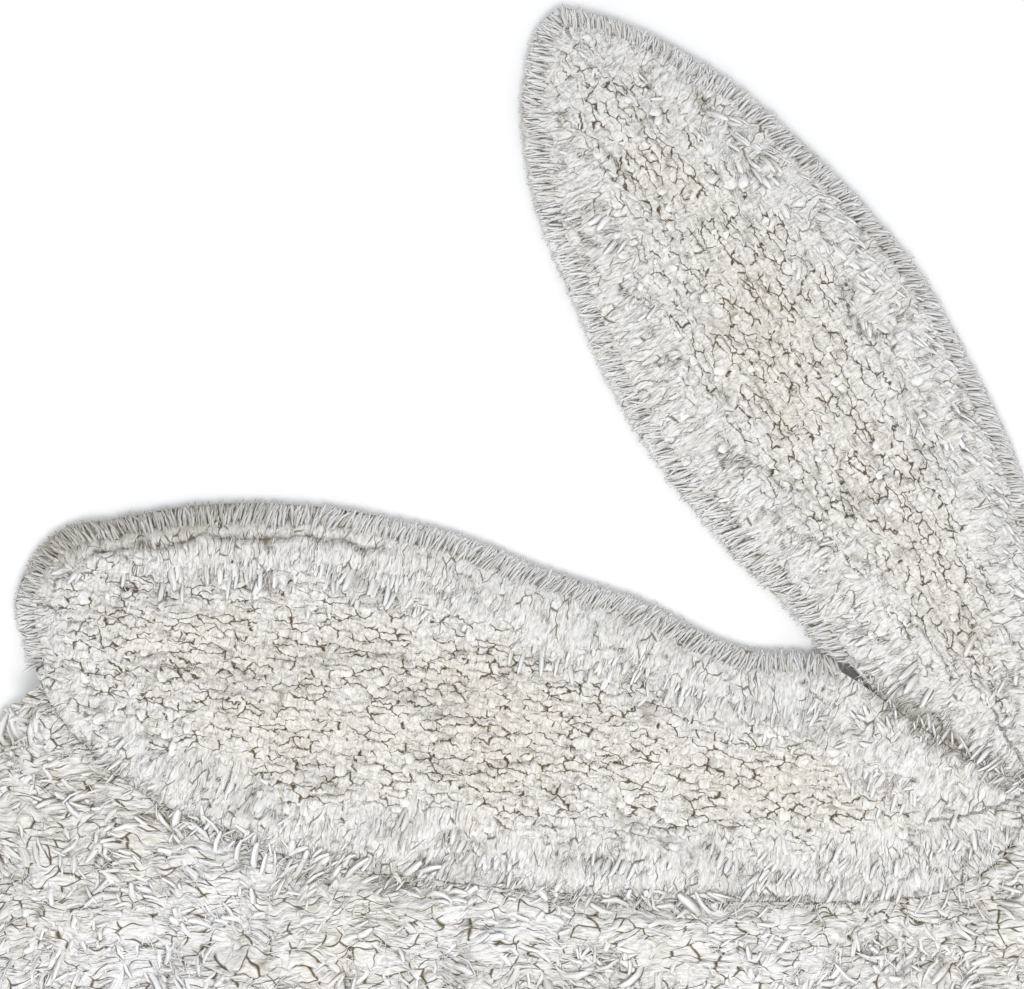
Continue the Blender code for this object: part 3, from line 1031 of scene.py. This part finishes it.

# Tufts' ends in the matted yarn, inside an ear, along its rims and on the body: their size, how far noise
# pushes their borders about, the size of the stretches where a border is open and how many of them are
# closed, how wide an open border is, as a share of a tuft, how dark it is, and the size of the strands.
# The dark borders, the open ones and a faint one at every tuft, are painted shade in the gaps between tufts.
INNER_TUFTS = {
    "plan": "plan",
    "size": (0.0115, 0.0048),
    "push": 0.0080,
    "push_scale": 170.0,
    "open": (0.020, 0.0050),
    "closed": 0.42,
    "width": 0.11,
    "border": (0.17, 0.125, 0.08),
    "hint": 0.76,
    "strand": (0.0016, 0.0060),
}
RIM_TUFTS = {
    "plan": "strand",
    "size": (0.0050, 0.0170),
    "push": 0.0080,
    "push_scale": 90.0,
    "open": (0.012, 0.016),
    "closed": 0.46,
    "width": 0.09,
    "border": (0.30, 0.26, 0.21),
    "hint": 0.86,
    "strand": (0.0010, 0.0100),
}
BODY_TUFTS = {
    "plan": "plan",
    "size": (0.0145, 0.0050),
    "push": 0.036,
    "push_scale": 30.0,
    "open": (0.014, 0.0080),
    "closed": 0.42,
    "width": 0.10,
    "border": (0.20, 0.155, 0.09),
    "hint": 0.76,
    "strand": (0.0120, 0.0013),
}


def tuft_pattern(look, tufts):
    """Tufts' ends side by side, with dark borders of painted shade that are open in places: their colour and
    their height.
    """
    place = look.attribute(tufts["plan"], "Vector")
    push = look.noise(place, tufts["push_scale"], 2.0, "Color")
    push = look.vector("SUBTRACT", push, (0.5, 0.5, 0.5))
    push = look.vector("MULTIPLY", push, (tufts["push"], tufts["push"], 0.0))
    moved = look.vector("ADD", place, push)
    plans = {}
    for name in ("size", "open", "strand"):
        plans[name] = look.vector("MULTIPLY", moved, (1 / tufts[name][0], 1 / tufts[name][1], 0.0))
    edge = look.cells(plans["size"], "DISTANCE_TO_EDGE", "Distance")
    stretch = look.noise(plans["open"], 1.0, 1.0)
    opened = look.eased(stretch, (tufts["closed"], tufts["closed"] + OPENING_FADE), (0.0, 1.0))
    width = look.number("ADD", look.number("MULTIPLY", opened, tufts["width"]), LEAST_BORDER)
    soft = tuple((1 + channel) / 2 for channel in tufts["border"])
    border = look.number("DIVIDE", edge, width)
    # Painted shade: dark along open borders, and faint at every border between tufts
    colour = look.ramp(border, [(0.20, tufts["border"]), (0.60, soft), (1.0, WHITE)])
    colour = look.darkened(colour, edge, [(0.0, (tufts["hint"],) * 3), (HINT_WIDTH, WHITE)])
    colour = look.darkened(colour, look.cells(plans["size"], "F1", "Color"), CELL_STOPS)
    strands = look.noise(plans["strand"], 1.0, 2.0)
    colour = look.darkened(colour, strands, STRAND_STOPS)
    pillow = look.eased(look.cells(plans["size"], "SMOOTH_F1", "Distance"), (0.0, 0.75), (1.0, 0.0))
    return colour, look.number("ADD", pillow, look.number("MULTIPLY", strands, 0.30))


def mat_pattern(look, kinds):
    """The tufts of the matted yarn: of one kind, or of one along an ear's rims and another inside."""
    patterns = [tuft_pattern(look, tufts) for tufts in kinds]
    if len(patterns) == 1:
        return patterns[0]
    colours, heights = zip(*patterns)
    inner = look.attribute("inner")
    height = look.add("Mix", {"Factor": inner, "A": heights[0], "B": heights[1]}, "Result")
    return look.mix(inner, *colours), height


def yarn_material(name, cool, warm, deep, tufts):
    """Cut cotton yarn: pale tips, roots darkened by painted shade, with fine fibre lines along every lock."""
    look = Look(name)
    depth = look.attribute("depth")
    # Painted shade: the colour darkens with the depth value, towards a lock's root and in the matted yarn's
    # cracks and crease
    tones = []
    for tone in (cool, warm):
        shaded = tuple(channel * 0.90 for channel in tone)
        tones.append(look.ramp(depth, [(0.20, deep), (0.56, shaded), (0.82, tone)]))
    colour = look.mix(look.attribute("warm"), *tones)
    colour = look.darkened(colour, look.attribute("tint"), TINT_STOPS)
    # Spots: darker for dirt or painted shade, whiter for painted light
    spot = look.attribute("shade")
    colour = look.darkened(colour, spot, SOIL_AND_SHADE_STOPS)
    painted_light = look.add("MapRange", {"From Min": 0.5, "Value": spot}, "Result")
    colour = look.mix(painted_light, colour, PAINTED_LIGHT_WHITE)

    grain = look.attribute("grain", "Vector")
    fine = look.noise(grain, FINE_SCALE, 2.0)
    coarse = look.noise(grain, COARSE_SCALE, 1.0)
    # Painted shade in creases: darker where other surfaces lie close, found by ambient occlusion
    creases = look.add("AmbientOcclusion", {"Distance": CREASE_REACH}, "AO", samples=2)
    colour = look.darkened(colour, creases, CREASE_STOPS)
    colour = look.darkened(colour, fine, STREAK_STOPS)
    colour = look.darkened(colour, coarse, CLEFT_STOPS)

    relief = None
    if tufts:
        pattern, height = mat_pattern(look, tufts)
        colour = look.mix(1.0, colour, pattern, "MULTIPLY")
        relief = look.bump(height, 1.0, 0.0022)
    relief = look.bump(coarse, 0.9, 0.0012, relief)
    relief = look.bump(fine, 0.8, 0.0006, relief)
    look.feed(
        look.shader,
        {
            "Base Color": colour,
            "Normal": relief,
            "Roughness": 0.9,
            "Specular IOR Level": 0.15,
            "Sheen Weight": 0.2,
            "Sheen Roughness": 0.5,
            # Painted light: a faint glow in the yarn's own colour that lifts its shade
            "Emission Color": colour,
            "Emission Strength": 0.05,
        },
    )
    return look.material


def ground_material():
    """Plain-woven cotton ground cloth on the underside: threads over and under."""
    look = Look("ground_cloth")
    place = look.add("TexCoord", {}, "Object")
    inputs = {"Scale": 80.0, "Distortion": 0.6, "Detail": 2.0, "Vector": place}
    waves = [look.add("TexWave", inputs, "Fac", wave_type="BANDS", bands_direction=way) for way in ("X", "Y")]
    weave = look.number("MAXIMUM", *waves)
    colour = look.ramp(weave, THREAD_STOPS)
    relief = look.bump(weave, 0.6, 0.0006)
    look.feed(look.shader, {"Base Color": colour, "Normal": relief, "Roughness": 0.95})
    return look.material


def ear_warmth(places, away):
    """Warm ivory along the middle of the ear, in drifts."""
    drift = 0.5 + 0.5 * soft_noise(places, 0.060, 71)
    spots = 0.5 + 0.5 * soft_noise(places, 0.016, 72)
    return np.clip(smooth_step(away, 0.020, 0.070) * (0.35 + 0.65 * drift) + 0.25 * (spots - 0.5), 0.0, 1.0)


def body_warmth(places, away):
    """Warm ivory in faint drifts."""
    drift = 0.5 + 0.5 * soft_noise(places, 0.080, 81)
    spots = 0.5 + 0.5 * soft_noise(places, 0.020, 82)
    return np.clip(0.15 + 0.35 * drift * spots + 0.2 * (spots - 0.5), 0.0, 1.0)


# The stretch of body that the photograph shows, where its yarns stand closest
SEEN_MIDDLE = (-0.045, -0.030)
SEEN_REACH = (0.30, 0.14)
SEEN_FADE = 0.09
UNSEEN_DENSITY = 0.5


def body_density(places):
    offset = np.abs(places - SEEN_MIDDLE) - SEEN_REACH
    outside = np.clip(offset, 0.0, None)
    return 1.0 - (1.0 - UNSEEN_DENSITY) * smooth_step(np.linalg.norm(outside, axis=1), 0.0, SEEN_FADE)


def ear_fibre_share(panel, places, away):
    return 0.12 + 0.88 * rim_share(panel, places, away)


def body_fibre_share(panel, places, away):
    return body_density(places)


# Locks: broad, blunt and short ones inside an ear, slender and longer ones along its rims, and wide and
# thin ones on the body. Stations are how far along a lock each ring of points lies, and how wide it is there.
INNER_STYLE = {
    "sides": 6,
    "stations": [(0.34, 0.86), (0.70, 1.0), (0.94, 0.74)],
    "width": 0.0076,
    "length": 0.0115,
    "sizes": (0.62, 1.30),
    "flatness": 0.13,
    "root": 0.84,
    "laid": 0.45,
    "loft": 0.0004,
    "curl": 0.0012,
    "ragged": 0.0003,
    "twist": 0.10,
    "stray": 0.16,
    "cracked": True,
    "rim_thinning": 0.0,
}
RIM_STYLE = {
    "sides": 4,
    "stations": [(0.25, 0.90), (0.60, 1.0), (0.88, 0.66)],
    "width": 0.0044,
    "length": 0.0190,
    "sizes": (0.55, 1.30),
    "flatness": 0.11,
    "root": 0.88,
    "laid": 0.98,
    "loft": 0.0002,
    "curl": 0.0016,
    "ragged": 0.0004,
    "twist": 0.12,
    "stray": 0.12,
    "cracked": False,
    "rim_thinning": 0.55,
}
WIDE_STYLE = {
    "pitch": 0.0098,
    "sides": 4,
    "stations": [(0.22, 0.80), (0.48, 1.0), (0.74, 0.96), (0.95, 0.66)],
    "width": 0.0046,
    "length": 0.025,
    "sizes": (0.50, 1.30),
    "flatness": 0.15,
    "root": 0.84,
    "laid": 0.96,
    "loft": 0.0005,
    "curl": 0.0060,
    "ragged": 0.0010,
    "twist": 0.30,
    "stray": 0.12,
    "cracked": True,
    "rim_thinning": 0.0,
}
THIN_STYLE = {
    "pitch": 0.0125,
    "sides": 4,
    "stations": [(0.30, 0.85), (0.65, 1.0), (0.90, 0.66)],
    "width": 0.0034,
    "length": 0.022,
    "sizes": (0.60, 1.25),
    "flatness": 0.40,
    "root": 0.80,
    "laid": 0.97,
    "loft": 0.0010,
    "curl": 0.0065,
    "ragged": 0.0010,
    "twist": 0.40,
    "stray": 0.25,
    "cracked": True,
    "rim_thinning": 0.0,
}
EAR_FIBRES = {
    "sides": 3,
    "stations": [(0.45, 1.0)],
    "count": 4000,
    "length": 0.009,
    "width": 0.0008,
    "stray": 0.35,
    "lift": 0.0004,
    "share": ear_fibre_share,
}
BODY_FIBRES = {
    "sides": 3,
    "stations": [(0.45, 1.0)],
    "count": 8000,
    "length": 0.014,
    "width": 0.0009,
    "stray": 0.70,
    "lift": 0.0012,
    "share": body_fibre_share,
}

# Panels: height of the pile, its lumps (along, across and up) and the reach of its locks; cracks (size of
# their pattern, length of a dash, and how many are closed, from -1 for none to 1 for all); and the pitch,
# depth below the pile, relief, lightness and stretched grain of the matted yarn
EAR = {
    "pile": 0.027,
    "lump": (0.052, 0.027, 0.011),
    "lock": 0.012,
    "cracks": {"size": (0.026, 0.0085), "dash": 0.012, "closed": -0.10, "seed": 120},
    "pitch": 0.0022,
    "drop": 0.0003,
    "relief": [],
    "light": 0.84,
    "stretch": (1.0, 0.25),
    "warmth": ear_warmth,
    "lean": ear_lean,
    "fibres": EAR_FIBRES,
}
BODY = {
    "pile": 0.030,
    "lump": (0.046, 0.034, 0.014),
    "lock": 0.019,
    "cracks": {"size": (0.022, 0.014), "dash": 0.020, "closed": -0.10, "seed": 320},
    "pitch": 0.0032,
    "drop": 0.0004,
    "relief": BODY_RELIEF,
    "light": 0.80,
    "stretch": (0.25, 1.0),
    "warmth": body_warmth,
    "lean": body_lean,
    "fibres": BODY_FIBRES,
}


def make_panels():
    body = body_outline(OUTLINE_PITCH)
    near = ear_outline(NEAR_EAR_TIP, NEAR_EAR_BASE, NEAR_EAR_ROWS, OUTLINE_PITCH)
    far = ear_outline(FAR_EAR_TIP, FAR_EAR_BASE, FAR_EAR_ROWS, OUTLINE_PITCH)
    near_ear = Panel("near_ear", near, [body, far], [], EAR, NEAR_EAR_TIP, NEAR_EAR_BASE, NEAR_FLOW)
    holes = [near_ear.hole()]
    far_ear = Panel("far_ear", far, [body, near], holes, EAR, FAR_EAR_TIP, FAR_EAR_BASE, FAR_FLOW)
    holes = [near_ear.hole(), far_ear.hole()]
    return near_ear, far_ear, Panel("body", body, [near, far], holes, BODY, (0.0, 0.0), (1.0, 0.0))


def ear_piles(panel, seed, material):
    """An ear's locks and loose fibres."""
    inner, outer = ear_locks(panel, seed)
    loose = loose_fibres(panel, seed + 9, seed + 5)
    return [
        grown(panel.name + "_inner_locks", inner, INNER_STYLE, seed + 1, material),
        grown(panel.name + "_rim_locks", outer, RIM_STYLE, seed + 2, material),
        grown(panel.name + "_fibres", loose, EAR_FIBRES, seed + 6, material),
    ]


def body_piles(panel, seed, material):
    """The body's wide and thin locks, each parted by place into two pieces, and loose fibres."""
    piles = []
    for kind, style in (("wide", WIDE_STYLE), ("thin", THIN_STYLE)):
        locks = body_locks(panel, style, seed)
        order = np.argsort(locks["root"][:, 0], kind="stable")
        for number, part in enumerate(np.array_split(order, 2), 1):
            share = {key: values[part] for key, values in locks.items()}
            piles.append(grown(f"{panel.name}_{kind}_{number}", share, style, seed + number, material))
        seed += 50
    loose = loose_fibres(panel, BODY_LEAN_SEED, seed + 5)
    piles.append(grown(panel.name + "_fibres", loose, BODY_FIBRES, seed + 6, material))
    return piles


def dress(panel, piles, yarn, cloth):
    """Replace a panel's solid with its ground cloth, and set its matted yarn and its locks on it."""
    piles.append(mat_mesh(panel, yarn))
    ground = slab_mesh(panel.name + "_ground", panel, panel.outline, CLOTH_PITCH, cloth_heights, 0.0)
    ground.data.materials.append(cloth)
    for piece in (*piles, ground):
        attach(piece, "root")
        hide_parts(panel.name)


def make_camera():
    """The camera nearly overhead, with the middle of the photograph in the middle of its view."""
    column, row = (size / 2 for size in PHOTO_SIZE)
    x = (column - DRAWING_ZERO_PIXEL[0]) * PIXEL - DRAWING_CENTRE[0]
    y = (DRAWING_ZERO_PIXEL[1] - row) * PIXEL - DRAWING_CENTRE[1]
    aim = Vector((x, y, CAMERA_AIM_HEIGHT))
    data = bpy.data.cameras.new("camera")
    data.sensor_width = SENSOR_WIDTH * 1000
    data.lens = SENSOR_WIDTH * 1000 * CAMERA_DISTANCE / (PHOTO_SIZE[0] * PIXEL)
    data.clip_start = 0.01
    camera = bpy.data.objects.new("camera", data)
    back = Vector((0.0, -math.cos(CAMERA_ELEVATION), math.sin(CAMERA_ELEVATION)))
    camera.location = aim + back * CAMERA_DISTANCE
    camera.rotation_euler = (math.pi / 2 - CAMERA_ELEVATION, 0.0, 0.0)
    bpy.context.scene.collection.objects.link(camera)
    bpy.context.scene.camera = camera
    return aim


def make_studio(aim):
    """A plain pale floor, a broad soft lamp from the photograph's lower side, and an even sky."""
    bpy.ops.mesh.primitive_plane_add(size=FLOOR_SIZE, location=(0.0, 0.0, FLOOR_HEIGHT))
    floor = bpy.context.active_object
    floor.name = "floor"
    look = Look("floor_white")
    look.feed(look.shader, {"Base Color": (0.92, 0.92, 0.92), "Roughness": 0.9})
    floor.data.materials.append(look.material)

    lamp_data = bpy.data.lights.new("key", "AREA")
    lamp_data.shape = "RECTANGLE"
    lamp_data.size, lamp_data.size_y = LAMP_SIZE
    lamp_data.energy = LAMP_POWER
    lamp_data.color = LAMP_COLOUR
    lamp = linked("key", lamp_data)
    lamp.location = LAMP_PLACE
    lamp.rotation_euler = (aim - lamp.location).to_track_quat("-Z", "Y").to_euler()

    world = bpy.data.worlds.new("sky")
    world.use_nodes = True
    sky = world.node_tree.nodes["Background"]
    sky.inputs["Color"].default_value = SKY_COLOUR
    sky.inputs["Strength"].default_value = SKY_STRENGTH
    bpy.context.scene.world = world
    bpy.context.scene.view_settings.view_transform = "Standard"


# Colours of the yarns
EAR_TONES = ((0.87, 0.87, 0.87), (0.86, 0.83, 0.78))
BODY_TONES = ((0.90, 0.90, 0.91), (0.87, 0.845, 0.79))


def main():
    aim = make_camera()
    # The third colour of each yarn is its painted shade, deepest at the roots
    ear_yarn = yarn_material("ear_yarn", *EAR_TONES, (0.66, 0.64, 0.60), [])
    ear_mat = yarn_material("ear_matted_yarn", *EAR_TONES, (0.42, 0.36, 0.28), [RIM_TUFTS, INNER_TUFTS])
    body_yarn = yarn_material("body_yarn", *BODY_TONES, (0.62, 0.59, 0.52), [])
    body_mat = yarn_material("body_matted_yarn", *BODY_TONES, (0.38, 0.32, 0.22), [BODY_TUFTS])
    cloth = ground_material()
    near, far, body = make_panels()
    dress(near, ear_piles(near, 100, ear_yarn), ear_mat, cloth)
    dress(far, ear_piles(far, 200, ear_yarn), ear_mat, cloth)
    dress(body, body_piles(body, BODY_SEED, body_yarn), body_mat, cloth)
    make_studio(aim)


main()
